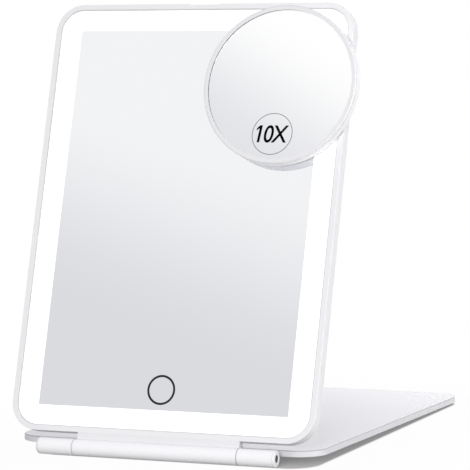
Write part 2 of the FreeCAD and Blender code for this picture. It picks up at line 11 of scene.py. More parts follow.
import bmesh
import bpy
from mathutils import Euler, Matrix, Vector


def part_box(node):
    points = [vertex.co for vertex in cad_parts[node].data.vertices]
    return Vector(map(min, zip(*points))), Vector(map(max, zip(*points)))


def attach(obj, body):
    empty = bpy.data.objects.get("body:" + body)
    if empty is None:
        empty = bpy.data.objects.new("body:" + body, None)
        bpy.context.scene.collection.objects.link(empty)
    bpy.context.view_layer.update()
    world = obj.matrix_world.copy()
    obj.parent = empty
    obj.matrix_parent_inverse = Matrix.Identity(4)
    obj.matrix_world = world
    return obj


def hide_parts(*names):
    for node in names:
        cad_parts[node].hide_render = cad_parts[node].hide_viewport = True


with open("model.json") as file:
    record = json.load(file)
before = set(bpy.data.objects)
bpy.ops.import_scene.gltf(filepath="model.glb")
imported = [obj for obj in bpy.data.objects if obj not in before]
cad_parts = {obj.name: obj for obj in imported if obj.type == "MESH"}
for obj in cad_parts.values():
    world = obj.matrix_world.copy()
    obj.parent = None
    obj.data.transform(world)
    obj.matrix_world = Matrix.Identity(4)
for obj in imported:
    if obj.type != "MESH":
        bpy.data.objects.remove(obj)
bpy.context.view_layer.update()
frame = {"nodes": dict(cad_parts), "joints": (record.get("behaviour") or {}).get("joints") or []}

mm = 0.001

# %% [markdown]
# ## The closed position
# Shaping is easiest with the mirror folded flat: the hinge axis is then the X axis, the panel lies face up
# below z = 0, and the lid lies above it. The panel's and the lid's turn away from that position are read
# from the largest flat face of the glass and of the lid's shell.

# %% Measure the stance
hinge = Vector(next(j for j in frame["joints"] if j["name"] == "panel_tilt")["pos_m"])


def turn_of(node, facing):
    """Angle about X from the flat position, read from the largest face that looks one way."""
    faces = [p for p in frame["nodes"][node].data.polygons if p.normal.dot(facing) > 0.5]
    normal = max(faces, key=lambda p: p.area).normal
    return math.atan2(-normal.y, normal.z)


def flat_box(node, turn):
    """Lowest and highest corner of a node in the closed position."""
    back = Matrix.Rotation(-turn, 3, "X")
    points = [back @ (v.co - hinge) for v in frame["nodes"][node].data.vertices]
    low = Vector([min(p[i] for p in points) for i in range(3)])
    return low, Vector([max(p[i] for p in points) for i in range(3)])


panel_turn = turn_of("mirror_glass", Vector((0, -1, 0)))
lid_turn = turn_of("lid_outer_shell", Vector((0, 0, 1)))
print("panel turned", round(math.degrees(panel_turn), 2), "lid", round(math.degrees(lid_turn), 2))

# %% [markdown]
# ## Camera
# A long lens about 1.4 metres away, a little above the table and to the right of the front. A long lens
# keeps the panel's sides almost parallel, as in a catalogue picture.

# %% Camera
camera_from_hinge = Vector((0.589736, -1.274617, 0.238734))
camera_azimuth, camera_elevation, camera_roll = 23.123, 5.218, -0.737
camera_lens = 213.257

lens = bpy.data.cameras.new("camera")
lens.sensor_width = 36
lens.lens = camera_lens
lens.clip_end = 50
camera = bpy.data.objects.new("camera", lens)
bpy.context.scene.collection.objects.link(camera)
facing = Euler((math.radians(90 - camera_elevation), 0, math.radians(camera_azimuth))).to_matrix()
facing = facing @ Matrix.Rotation(math.radians(camera_roll), 3, "Z")
camera.matrix_world = Matrix.Translation(hinge + camera_from_hinge) @ facing.to_4x4()
bpy.context.scene.camera = camera
print("camera", tuple(round(v, 3) for v in camera.location))

# %% [markdown]
# ## Shaping tools
# Most pieces start as a cube or a cylinder and are shaped in edit mode: pick edges or faces by where they
# are, then bevel, inset or extrude them. Most holes are cut with a Boolean modifier, which is quicker than
# stitching a hole's rim by hand. These helpers only save typing.

# %% Shaping tools
def take(piece):
    """Select one piece alone and make it the active one."""
    bpy.ops.object.select_all(action="DESELECT")
    piece.select_set(True)
    bpy.context.view_layer.objects.active = piece


def pick(piece, kind, test):
    """Open a piece in edit mode with only the edges or faces that pass a test selected."""
    take(piece)
    bpy.ops.object.mode_set(mode="EDIT")
    bpy.ops.mesh.select_mode(type=kind)
    bpy.ops.mesh.select_all(action="DESELECT")
    mesh = bmesh.from_edit_mesh(piece.data)
    for item in list(mesh.edges if kind == "EDGE" else mesh.faces):
        if test(item):
            item.select_set(True)
    bmesh.update_edit_mesh(piece.data)


def done():
    """Leave edit mode."""
    bpy.ops.object.mode_set(mode="OBJECT")


def slab(name, low, high):
    """Block between two corners."""
    bpy.ops.object.select_all(action="DESELECT")
    size = [b - a for a, b in zip(low, high)]
    middle = [(a + b) / 2 for a, b in zip(low, high)]
    bpy.ops.mesh.primitive_cube_add(size=1, location=middle, scale=size)
    piece = bpy.context.object
    piece.name = piece.data.name = name
    bpy.ops.object.transform_apply(location=True, rotation=True, scale=True)
    return piece


drum_sides, bore_sides = 96, 48


def drum(name, radius, start, end, sides=drum_sides):
    """Cylinder between two points."""
    bpy.ops.object.select_all(action="DESELECT")
    start, end = Vector(start), Vector(end)
    way = (end - start).to_track_quat("Z", "Y").to_euler()
    bpy.ops.mesh.primitive_cylinder_add(
        vertices=sides, radius=radius, depth=(end - start).length, location=(start + end) / 2, rotation=way)
    piece = bpy.context.object
    piece.name = piece.data.name = name
    bpy.ops.object.transform_apply(location=True, rotation=True, scale=True)
    return piece


soft_steps, full_steps = 2, 6


def round_edges(piece, radius, steps, test):
    """Bevel the edges that pass a test."""
    pick(piece, "EDGE", test)
    bpy.ops.mesh.bevel(offset_type="OFFSET", offset=radius, segments=steps, profile=0.5, affect="EDGES")
    done()


def draw_in(piece, wall, test):
    """Inset a face by a wall."""
    pick(piece, "FACE", test)
    bpy.ops.mesh.inset(thickness=wall, use_even_offset=True)
    done()


def sink(piece, wall, depth, test):
    """Inset a face by a wall and push its middle in, or out, by a depth along one axis."""
    pick(piece, "FACE", test)
    bpy.ops.mesh.inset(thickness=wall, use_even_offset=True)
    bpy.ops.mesh.extrude_region_move(TRANSFORM_OT_translate={"value": depth})
    done()


def pierce(piece, sides):
    """Make a hole between the two faces that have this many sides."""
    pick(piece, "FACE", lambda f: len(f.verts) == sides)
    bpy.ops.mesh.bridge_edge_loops()
    done()


def join_or_cut(piece, other, operation):
    """Union with another piece, or cut it out."""
    take(piece)
    cut = piece.modifiers.new(operation.lower(), "BOOLEAN")
    cut.operation, cut.object, cut.solver = operation, other, "EXACT"
    bpy.ops.object.modifier_apply(modifier=cut.name)
    bpy.data.objects.remove(other, do_unlink=True)


def thicken(piece, depth):
    """Give a thin skin or print a little body above the surface it lies on."""
    take(piece)
    body = piece.modifiers.new("body", "SOLIDIFY")
    body.thickness, body.offset = depth, 1.0
    bpy.ops.object.modifier_apply(modifier=body.name)


nearly_straight = 0.9
same_place = 1e-6


def upright(edge):
    """Test for edges that stand upright in the closed position."""
    a, b = edge.verts[0].co, edge.verts[1].co
    return abs(a.z - b.z) > nearly_straight * (a - b).length


def level(z):
    """Test for edges or faces that lie at one height in the closed position."""
    return lambda item: all(abs(v.co.z - z) < same_place for v in item.verts)


def across(x):
    """Test for edges or faces that lie at one place along the hinge."""
    return lambda item: all(abs(v.co.x - x) < same_place for v in item.verts)


def stand(piece, turn):
    """Turn a piece out of the closed position, with its place kept in its mesh."""
    take(piece)
    piece.rotation_euler = (turn, 0, 0)
    piece.location = hinge
    bpy.ops.object.transform_apply(location=True, rotation=True, scale=True)


def finish_piece(piece, coating, body, nodes=(), smooth=35):
    """Shade a piece, give it its finish and let it ride on a body in place of its solids."""
    take(piece)
    bpy.ops.object.shade_smooth_by_angle(angle=math.radians(smooth))
    even = piece.modifiers.new("even_shading", "WEIGHTED_NORMAL")
    even.keep_sharp = True
    bpy.ops.object.modifier_apply(modifier=even.name)
    piece.data.materials.clear()
    piece.data.materials.append(coating)
    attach(piece, body)
    if nodes:
        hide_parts(*nodes)
    print(piece.name, len(piece.data.polygons), "faces on", body)


print("tools ready")

# %% [markdown]
# ## Shared effects
# Several finishes need the same thing: a slow drift of tone with a fine moulded grain, and a directional
# brushing. Each is a node group with its own values in each finish. A group gives only colours, values
# and heights; the shader stays in the material.

# %% Node helpers
def add(tree, kind, values=None, **settings):
    """Add a node, set its properties and its named input values."""
    made = tree.nodes.new("ShaderNode" + kind)
    for key, value in settings.items():
        setattr(made, key, value)
    for key, value in (values or {}).items():
        made.inputs[key].default_value = value
    return made


def effect(name, inputs, outputs):
    """Start a node group with named sockets."""
    tree = bpy.data.node_groups.new(name, "ShaderNodeTree")
    for label, kind, value in inputs:
        socket = tree.interface.new_socket(label, in_out="INPUT", socket_type="NodeSocket" + kind)
        socket.default_value = value
    for label, kind in outputs:
        tree.interface.new_socket(label, in_out="OUTPUT", socket_type="NodeSocket" + kind)
    return tree, tree.nodes.new("NodeGroupInput"), tree.nodes.new("NodeGroupOutput")


def blend_colours(tree, amount, one, two):
    """Mix two colours and return the colour output."""
    # A Mix node has sockets for every kind of value; its colours are inputs 6 and 7 and output 2.
    mix = add(tree, "Mix", data_type="RGBA")
    tree.links.new(amount, mix.inputs[0])
    tree.links.new(one, mix.inputs[6])
    tree.links.new(two, mix.inputs[7])
    return mix.outputs[2]


def ranged(tree, value, low, high):
    """Map a value from 0..1 to a range given by two sockets."""
    span = add(tree, "MapRange")
    tree.links.new(value, span.inputs["Value"])
    tree.links.new(low, span.inputs["To Min"])
    tree.links.new(high, span.inputs["To Max"])
    return span.outputs["Result"]


white = (1, 1, 1, 1)
skin_out = [("Colour", "Color"), ("Roughness", "Float"), ("Height", "Float")]
skin_in = [("Light", "Color", white), ("Shade", "Color", white), ("Drift", "Float", 14.0)]
skin_in += [("Grain", "Float", 2500.0), ("Rough low", "Float", 0.3), ("Rough high", "Float", 0.4)]
skin, given, result = effect("moulded_skin", skin_in, skin_out)
place = add(skin, "TexCoord")
cloud = add(skin, "TexNoise", {"Detail": 3.0})
grain = add(skin, "TexNoise", {"Detail": 2.0})
for noise, scale in ((cloud, "Drift"), (grain, "Grain")):
    skin.links.new(place.outputs["Object"], noise.inputs["Vector"])
    skin.links.new(given.outputs[scale], noise.inputs["Scale"])
tone = blend_colours(skin, cloud.outputs["Fac"], given.outputs["Light"], given.outputs["Shade"])
skin.links.new(tone, result.inputs["Colour"])
skin.links.new(ranged(skin, grain.outputs["Fac"], given.outputs["Rough low"], given.outputs["Rough high"]),
               result.inputs["Roughness"])
skin.links.new(grain.outputs["Fac"], result.inputs["Height"])

brush_in = [("Light", "Color", white), ("Shade", "Color", white), ("Stretch", "Vector", (30, 3000, 3000))]
brush_in += [("Rough low", "Float", 0.2), ("Rough high", "Float", 0.35)]
brush, given, result = effect("brushed_lines", brush_in, skin_out)
place = add(brush, "TexCoord")
pull = add(brush, "VectorMath", operation="MULTIPLY")
lines = add(brush, "TexNoise", {"Scale": 1.0, "Detail": 3.0})
brush.links.new(place.outputs["Object"], pull.inputs[0])
brush.links.new(given.outputs["Stretch"], pull.inputs[1])
brush.links.new(pull.outputs[0], lines.inputs["Vector"])
tone = blend_colours(brush, lines.outputs["Fac"], given.outputs["Light"], given.outputs["Shade"])
brush.links.new(tone, result.inputs["Colour"])
brush.links.new(ranged(brush, lines.outputs["Fac"], given.outputs["Rough low"], given.outputs["Rough high"]),
                result.inputs["Roughness"])
brush.links.new(lines.outputs["Fac"], result.inputs["Height"])
print("effects", [g.name for g in bpy.data.node_groups])

# %% [markdown]
# ## Painted reflection ramp
# A mirror's colour here carries a painted reflection: a smooth ramp along one direction between two points
# of the piece, darker at one end and lighter at the other, stands in for the shading of what the mirror
# looks out on. The effect also gives the roughness a faint wiped cloud.

# %% Painted reflection ramp
painted_reflection_in = [("Low", "Color", white), ("High", "Color", white), ("Start", "Vector", (0, 0, 0))]
painted_reflection_in += [("Run", "Vector", (0, 0, 1)), ("Rough low", "Float", 0.02), ("Rough high", "Float", 0.05)]
painted_reflection, given, result = effect("painted_reflection_ramp", painted_reflection_in, [("Colour", "Color"), ("Roughness", "Float")])
place = add(painted_reflection, "TexCoord")
away = add(painted_reflection, "VectorMath", operation="SUBTRACT")
along = add(painted_reflection, "VectorMath", operation="DOT_PRODUCT")
ramp = add(painted_reflection, "MapRange", interpolation_type="SMOOTHSTEP")
wipe = add(painted_reflection, "TexNoise", {"Scale": 22.0, "Detail": 4.0, "Distortion": 0.6})
painted_reflection.links.new(place.outputs["Object"], away.inputs[0])
painted_reflection.links.new(given.outputs["Start"], away.inputs[1])
painted_reflection.links.new(away.outputs[0], along.inputs[0])
painted_reflection.links.new(given.outputs["Run"], along.inputs[1])
painted_reflection.links.new(along.outputs["Value"], ramp.inputs["Value"])
painted_reflection.links.new(place.outputs["Object"], wipe.inputs["Vector"])
tone = blend_colours(painted_reflection, ramp.outputs["Result"], given.outputs["Low"], given.outputs["High"])
painted_reflection.links.new(tone, result.inputs["Colour"])
painted_reflection.links.new(ranged(painted_reflection, wipe.outputs["Fac"], given.outputs["Rough low"], given.outputs["Rough high"]),
               result.inputs["Roughness"])
print("coating drift sockets", [s.name for s in painted_reflection.interface.items_tree])

# %% [markdown]
# ## Finishes
# One function wires a group into a Principled shader. What is the same all over a surface, such as
# metalness or coat, is set straight on the shader.

# %% Finishes
def grey(level, tint=(1.0, 1.0, 1.0)):
    """Colour from a linear level and a faint tint."""
    return (level * tint[0], level * tint[1], level * tint[2], 1)


def finish(name, group, values, relief=0.0, relief_depth=0.0, **shader):
    """Material with one effect feeding a Principled shader."""
    material = bpy.data.materials.new(name)
    material.use_nodes = True
    tree = material.node_tree
    surface = tree.nodes["Principled BSDF"]
    source = tree.nodes.new("ShaderNodeGroup")
    source.node_tree = group
    for key, value in values.items():
        source.inputs[key].default_value = value
    tree.links.new(source.outputs["Colour"], surface.inputs["Base Color"])
    tree.links.new(source.outputs["Roughness"], surface.inputs["Roughness"])
    if relief:
        bump = add(tree, "Bump", {"Strength": relief, "Distance": relief_depth})
        tree.links.new(source.outputs["Height"], bump.inputs["Height"])
        tree.links.new(bump.outputs["Normal"], surface.inputs["Normal"])
    for key, value in shader.items():
        surface.inputs[key.replace("_", " ")].default_value = value
    return material


lilac = (0.985, 0.98, 1.0)
# A lilac tint for painted shade, used by the darkened finishes of the lid, its bevel, the arms and the cap
# recesses.
painted_shade_lilac = (0.972, 0.964, 1.0)
cool = (0.985, 0.99, 1.0)
shell_white = finish("shell_white", skin, {
    "Light": grey(0.805, lilac), "Shade": grey(0.77, lilac), "Drift": 18.0, "Grain": 3200.0,
    "Rough low": 0.34, "Rough high": 0.42}, relief=0.03, relief_depth=0.00003)
hinge_white = finish("hinge_white", skin, {
    "Light": grey(0.91, lilac), "Shade": grey(0.885, lilac), "Drift": 40.0, "Grain": 3600.0,
    "Rough low": 0.24, "Rough high": 0.30}, relief=0.015, relief_depth=0.00002, Specular_IOR_Level=0.15)
lining_white = finish("lining_white", skin, {
    "Light": grey(0.80, lilac), "Shade": grey(0.75, lilac), "Drift": 16.0, "Grain": 1400.0,
    "Rough low": 0.50, "Rough high": 0.62}, relief=0.15, relief_depth=0.00005)
tray_white = finish("tray_white", skin, {
    "Light": grey(0.84), "Shade": grey(0.78), "Drift": 20.0, "Grain": 1800.0,
    "Rough low": 0.45, "Rough high": 0.55}, relief=0.1, relief_depth=0.00004)
board_green = finish("board_green", skin, {
    "Light": (0.02, 0.16, 0.07, 1), "Shade": (0.015, 0.11, 0.05, 1), "Drift": 260.0, "Grain": 1500.0,
    "Rough low": 0.30, "Rough high": 0.45}, relief=0.2, relief_depth=0.00004)
foot_rubber = finish("foot_rubber", skin, {
    "Light": grey(0.36), "Shade": grey(0.30), "Drift": 90.0, "Grain": 2200.0,
    "Rough low": 0.65, "Rough high": 0.80}, relief=0.3, relief_depth=0.00005)
washer_grey = finish("washer_grey", skin, {
    "Light": grey(0.55), "Shade": grey(0.48), "Drift": 120.0, "Grain": 2600.0,
    "Rough low": 0.40, "Rough high": 0.55}, relief=0.1, relief_depth=0.00002)
# Painted shade: the lid's white is a darker, more lilac copy of the shell's white.
lid_painted_shade_white = finish("lid_painted_shade_white", skin, {
    "Light": grey(0.675, painted_shade_lilac), "Shade": grey(0.645, painted_shade_lilac), "Drift": 18.0, "Grain": 3200.0,
    "Rough low": 0.34, "Rough high": 0.42}, relief=0.03, relief_depth=0.00003)
# Painted shade: the lid bevel's darker grey, a little glossier than the lid's top.
bevel_painted_shade = finish("bevel_painted_shade", skin, {
    "Light": grey(0.46, painted_shade_lilac), "Shade": grey(0.42, painted_shade_lilac), "Drift": 60.0, "Grain": 3600.0,
    "Rough low": 0.22, "Rough high": 0.30})
# Painted shade: the hinge arms' dark grey stands in for the shade under the panel.
arm_painted_shade = finish("arm_painted_shade", skin, {
    "Light": grey(0.31, painted_shade_lilac), "Shade": grey(0.28, painted_shade_lilac), "Drift": 40.0, "Grain": 1800.0,
    "Rough low": 0.50, "Rough high": 0.62}, relief=0.1, relief_depth=0.00003)
# Satin white, darker than the hinge's white: on the end caps and the magnifier ring the darker tone is
# painted shade; the tongue shares it.
hinge_satin = finish("hinge_satin", skin, {
    "Light": grey(0.765, lilac), "Shade": grey(0.735, lilac), "Drift": 40.0, "Grain": 3600.0,
    "Rough low": 0.34, "Rough high": 0.44}, relief=0.04, relief_depth=0.00002)
seal_grey = finish("seal_grey", skin, {
    "Light": grey(0.64, lilac), "Shade": grey(0.58, lilac), "Drift": 200.0, "Grain": 2600.0,
    "Rough low": 0.60, "Rough high": 0.75}, relief=0.2, relief_depth=0.00003)
# Painted shade: the dark cup that darkens each cap's recess.
recess_shade_grey = finish("recess_shade_grey", skin, {
    "Light": grey(0.22, painted_shade_lilac), "Shade": grey(0.18, painted_shade_lilac), "Drift": 200.0, "Grain": 2600.0,
    "Rough low": 0.45, "Rough high": 0.60}, relief=0.1, relief_depth=0.00002)
gasket_grey = finish("gasket_grey", skin, {
    "Light": grey(0.12), "Shade": grey(0.09), "Drift": 200.0, "Grain": 2600.0,
    "Rough low": 0.60, "Rough high": 0.75}, relief=0.2, relief_depth=0.00003)
ink_grey = finish("ink_grey", skin, {
    "Light": grey(0.012), "Shade": grey(0.008), "Drift": 300.0, "Grain": 4000.0,
    "Rough low": 0.45, "Rough high": 0.60}, Specular_IOR_Level=0.15)
figure_black = finish("figure_black", skin, {
    "Light": grey(0.004), "Shade": grey(0.002), "Drift": 300.0, "Grain": 4000.0,
    "Rough low": 0.55, "Rough high": 0.70}, Specular_IOR_Level=0.0)
mark_grey = finish("mark_grey", skin, {
    "Light": grey(0.16), "Shade": grey(0.12), "Drift": 300.0, "Grain": 4000.0,
    "Rough low": 0.35, "Rough high": 0.50})
steel = finish("steel", brush, {
    "Light": grey(0.66), "Shade": grey(0.50), "Stretch": (60, 2600, 2600),
    "Rough low": 0.24, "Rough high": 0.38}, relief=0.05, relief_depth=0.00001, Metallic=1.0)
magnet_nickel = finish("magnet_nickel", brush, {
    "Light": grey(0.70, (1, 0.98, 0.95)), "Shade": grey(0.58, (1, 0.98, 0.95)), "Stretch": (900, 900, 900),
    "Rough low": 0.16, "Rough high": 0.30}, Metallic=1.0)
contact_copper = finish("contact_copper", brush, {
    "Light": (0.82, 0.46, 0.24, 1), "Shade": (0.68, 0.34, 0.16, 1), "Stretch": (1200, 1200, 1200),
    "Rough low": 0.22, "Rough high": 0.36}, Metallic=1.0)
cell_foil = finish("cell_foil", brush, {
    "Light": grey(0.62, (1, 0.99, 0.97)), "Shade": grey(0.52, (1, 0.99, 0.97)), "Stretch": (160, 500, 160),
    "Rough low": 0.30, "Rough high": 0.46}, relief=0.25, relief_depth=0.00006, Metallic=0.9)
lamp_phosphor = finish("lamp_phosphor", skin, {
    "Light": (0.95, 0.82, 0.34, 1), "Shade": (0.90, 0.72, 0.22, 1), "Drift": 600.0, "Grain": 3000.0,
    "Rough low": 0.35, "Rough high": 0.5}, Emission_Color=(1.0, 0.95, 0.85, 1), Emission_Strength=1.0)
opal_band = finish("opal_band", skin, {
    "Light": grey(0.92), "Shade": grey(0.89, cool), "Drift": 120.0, "Grain": 3000.0,
    "Rough low": 0.30, "Rough high": 0.38}, Emission_Color=(1.0, 1.0, 1.0, 1), Emission_Strength=0.25)
print("finishes", len(bpy.data.materials))

# %% [markdown]
# ## Mirror coatings
# The mirrors are plain metal shaders, so they show what stands before them. Their colour also carries a
# painted reflection: the big mirror's lightens towards its top, the magnifier's towards its upper right.

# %% Mirror coatings
def on_panel(x, y, z=0.0):
    """A point of the closed panel, where it stands."""
    return Matrix.Rotation(panel_turn, 3, "X") @ Vector((x, y, z)) + hinge


def ramp_between(start, end):
    """Start and run of a ramp that goes from 0 at one point to 1 at another."""
    run = end - start
    return {"Start": start, "Run": run / run.length_squared}


blue_shade, blue_light = (0.951, 0.961, 1.0), (0.972, 0.981, 1.0)
glass_low, glass_high = flat_box("mirror_glass", panel_turn)
glass_tall = glass_high.y - glass_low.y
painted_ramp_side, painted_ramp_from, painted_ramp_to = 15 * mm, 0.19, 0.68
low_edge = on_panel(-painted_ramp_side, glass_low.y + painted_ramp_from * glass_tall)
high_edge = on_panel(painted_ramp_side, glass_low.y + painted_ramp_to * glass_tall)
# Painted reflection: the big mirror's colour lightens from low on the glass to high on it.
mirror_silver = finish("mirror_silver", painted_reflection, {
    "Low": grey(0.737, blue_shade), "High": grey(0.913, blue_light), **ramp_between(low_edge, high_edge),
    "Rough low": 0.015, "Rough high": 0.035}, Metallic=1.0)

magnifier_low, magnifier_high = flat_box("magnifier_bezel", panel_turn)
magnifier_centre = (magnifier_low + magnifier_high) / 2
magnifier_radius = (magnifier_high.x - magnifier_low.x) / 2
reach = 0.75 * magnifier_radius
low_edge = on_panel(magnifier_centre.x - 0.65 * reach, magnifier_centre.y - 1.1 * reach)
high_edge = on_panel(magnifier_centre.x + 0.55 * reach, magnifier_centre.y + 0.85 * reach)
# Painted reflection: the magnifier's colour lightens towards its upper right.
magnifier_silver = finish("magnifier_silver", painted_reflection, {
    "Low": grey(0.805, blue_shade), "High": grey(1.0), **ramp_between(low_edge, high_edge),
    "Rough low": 0.015, "Rough high": 0.035}, Metallic=1.0)
print("mirror", round(glass_tall, 4), "tall, magnifier radius", round(magnifier_radius, 4))

# %% [markdown]
# ## Panel back
# The back is one moulded tray: rounded corners, a soft edge round the back, thin walls and a hollow for the
# works. A block is bevelled upright first, because the soft edge then follows the rounded corners. The
# charging slot is cut last.

# %% Panel back
corner = 15.0 * mm
corner_steps = 16
back_round = 1.8 * mm
wall = 1.5 * mm
shell_floor = 1.4 * mm
seam = 0.3 * mm
socket_gap, socket_round = 0.1 * mm, 1.6 * mm

shell_low, shell_high = flat_box("rear_shell", panel_turn)
socket_low, socket_high = flat_box("usb_socket", panel_turn)
leaf_low, leaf_high = flat_box("panel_hinge_leaf", panel_turn)


def tablet(name, low, high, inset=0.0):
    """Block with the panel's rounded corners, drawn in by an inset."""
    margin = Vector((inset, inset, 0))
    piece = slab(name, low + margin, high - margin)
    round_edges(piece, corner - inset, corner_steps, upright)
    return piece


panel_back = tablet("panel_back", shell_low, shell_high)
round_edges(panel_back, back_round, full_steps, level(shell_low.z))
round_edges(panel_back, seam, 1, level(shell_high.z))
sink(panel_back, wall - seam, (0, 0, shell_low.z + shell_floor - shell_high.z), level(shell_high.z))
socket_room = slab("socket_room",
                   Vector((shell_low.x - wall, socket_low.y - socket_gap, socket_low.z - socket_gap)),
                   Vector((shell_low.x + 2 * wall, socket_high.y + socket_gap, socket_high.z + socket_gap)))
round_edges(socket_room, socket_round, full_steps, lambda e: abs(e.verts[0].co.x - e.verts[1].co.x) > wall)
join_or_cut(panel_back, socket_room, "DIFFERENCE")
stand(panel_back, panel_turn)
finish_piece(panel_back, shell_white, "panel", ["rear_shell"])

# %% [markdown]
# ## Panel rim
# A narrow white rim goes round the light band. It is a thin tablet with a soft front edge and an opening,
# and a fine groove where it meets the back. A shallow scoop in the middle of its top edge takes a
# fingertip that lifts the lid.

# %% Panel rim
rim_low, rim_high = flat_box("front_bezel", panel_turn)
rim_width = 2.8 * mm
rim_round, opening_round, rim_steps = 0.2 * mm, 0.2 * mm, 4
notch_width, notch_run, notch_depth = 19.5 * mm, 2.2 * mm, 1.2 * mm
rim_start = Vector((rim_low.x, rim_low.y, shell_high.z))

panel_rim = tablet("panel_rim", rim_start, rim_high)
round_edges(panel_rim, rim_round, rim_steps, level(rim_high.z))
round_edges(panel_rim, seam, 1, level(rim_start.z))
opening = tablet("opening", rim_start - Vector((0, 0, wall)), rim_high + Vector((0, 0, wall)), rim_width)
join_or_cut(panel_rim, opening, "DIFFERENCE")
round_edges(panel_rim, opening_round, soft_steps, lambda e: level(rim_high.z)(e) and any(
    abs(f.normal.z) < 1 - nearly_straight for f in e.link_faces))
scoop = slab("scoop", Vector((-notch_width / 2, rim_high.y - notch_depth, rim_start.z - wall)),
             Vector((notch_width / 2, rim_high.y + notch_depth, rim_high.z + wall)))
pick(scoop, "FACE", lambda f: f.normal.y < -nearly_straight)
bpy.ops.transform.resize(value=(1 - 2 * notch_run / notch_width, 1, 1))
done()
join_or_cut(panel_rim, scoop, "DIFFERENCE")
stand(panel_rim, panel_turn)
finish_piece(panel_rim, shell_white, "panel", ["front_bezel"])

# %% [markdown]
# ## Hinge leaf
# The middle of the barrel belongs to the panel, and a flat tongue joins them. The tongue is satin as the rim
# is and the barrel is smoother, so they are two pieces. The tongue runs a little way into both of its
# neighbours, which leaves one crisp crease and no gap.

# %% Hinge leaf
knuckle_low, knuckle_high = flat_box("hinge_knuckle_right", lid_turn)
barrel_radius = -knuckle_low.z
middle_radius = -leaf_low.z
middle_half = leaf_high.x
tongue_half = middle_half - 0.25 * mm
tongue_face, tongue_end = -0.05 * mm, shell_low.y + 0.4 * mm
barrel_round, tongue_round, tongue_steps = 0.2 * mm, 0.3 * mm, 3
flange_half, flange_top, flange_under = 39.0 * mm, -3.35 * mm, -4.35 * mm
pin_bore, bush_length = 3.23 * mm, 13.05 * mm

barrel = drum("hinge_middle_barrel", middle_radius, (-middle_half, 0, 0), (middle_half, 0, 0))
for end in (-middle_half, middle_half):
    round_edges(barrel, barrel_round, soft_steps, across(end))
for side in (-1, 1):
    bore_end, bore_mouth = side * (middle_half - bush_length), side * (middle_half + mm)
    bore = drum("bore", pin_bore, (bore_end, 0, 0), (bore_mouth, 0, 0), bore_sides)
    join_or_cut(barrel, bore, "DIFFERENCE")

tongue = slab("hinge_tongue", Vector((-tongue_half, middle_radius - mm, flange_under)),
              Vector((tongue_half, tongue_end, tongue_face)))
round_edges(tongue, tongue_round, tongue_steps, lambda e: abs(e.verts[0].co.y - e.verts[1].co.y) > mm
            and all(v.co.z > tongue_face - same_place for v in e.verts))
flange = slab("flange", Vector((-flange_half, barrel_radius, flange_under)),
              Vector((flange_half, leaf_high.y, flange_top)))
join_or_cut(tongue, flange, "UNION")
for piece, coat_of, slot in ((barrel, hinge_white, "hinge_white"), (tongue, hinge_satin, "white_shell")):
    stand(piece, panel_turn)
    finish_piece(piece, coat_of, "panel", ["panel_hinge_leaf"])

# %% [markdown]
# ## Hinge knuckles
# The two ends of the barrel belong to the lid. Each is a tube: its end faces are inset, and bridging them
# makes a clean bore, where a Boolean would leave slivers. A flat arm runs from the tube into the lid's edge,
# level with its top, with a flange that goes on inside the lid. The arm is matt and its much darker colour is
# painted shade; the tube is smooth, so they are two pieces. They are shaped on the right and their copies are
# mirrored to the left; a mirrored mesh is inside out, so its normals are made to point outward again.

# %% Hinge knuckles
def mirrored(piece, name):
    """Copy of a right-hand piece for the left, with its own mesh."""
    copy = piece.copy()
    copy.data = piece.data.copy()
    copy.name = copy.data.name = name
    bpy.context.scene.collection.objects.link(copy)
    take(copy)
    copy.scale = (-1, 1, 1)
    bpy.ops.object.transform_apply(location=True, rotation=True, scale=True)
    bpy.ops.object.mode_set(mode="EDIT")
    bpy.ops.mesh.select_all(action="SELECT")
    bpy.ops.mesh.normals_make_consistent(inside=False)
    done()
    return copy


knuckle_outer = knuckle_high.x
lid_low, lid_high = flat_box("lid_outer_shell", lid_turn)
arm_inset, arm_floor, arm_top = 1.8 * mm, 0.3 * mm, lid_high.z - 0.1 * mm
lid_wall, lid_ledge, lid_bevel = 1.6 * mm, 1.4 * mm, 0.5 * mm
lid_ceiling = lid_high.z - 1.2 * mm
arm_flange_top = lid_ceiling - 0.02 * mm
arm_flange_under = lid_ceiling - 1.0 * mm
arm_start, arm_round = 2.5 * mm, 0.15 * mm
pin_radius, plug_radius, plug_depth = 2.0 * mm, 3.2 * mm, 2.8 * mm
knuckle_round, cap_soft, fit = 0.2 * mm, 0.15 * mm, 0.02 * mm

knuckle = drum("hinge_knuckle_end_right", barrel_radius, (knuckle_low.x, 0, 0), (knuckle_outer, 0, 0))
round_edges(knuckle, knuckle_round, soft_steps, across(knuckle_low.x))
round_edges(knuckle, cap_soft, 1, across(knuckle_outer))
sink(knuckle, barrel_radius - cap_soft - plug_radius - fit, (-plug_depth, 0, 0), across(knuckle_outer))
for place, radius in ((knuckle_outer - plug_depth, plug_radius + fit),
                      (knuckle_low.x, barrel_radius - knuckle_round)):
    draw_in(knuckle, radius - pin_radius - fit, across(place))
pierce(knuckle, drum_sides)
arm = slab("hinge_arm_right", Vector((knuckle_low.x + arm_inset, arm_start, arm_floor)),
           Vector((knuckle_outer - arm_inset, lid_low.y + lid_bevel, arm_top)))
round_edges(arm, arm_round, soft_steps, lambda e: abs(e.verts[0].co.y - e.verts[1].co.y) > mm)
arm_flange = slab("arm_flange", Vector((knuckle_low.x + 2 * arm_inset, arm_start + mm, arm_flange_under)),
                  Vector((knuckle_outer - 2 * arm_inset, knuckle_high.y, arm_flange_top)))
join_or_cut(arm, arm_flange, "UNION")
knuckle_left = mirrored(knuckle, "hinge_knuckle_end_left")
arm_left = mirrored(arm, "hinge_arm_left")
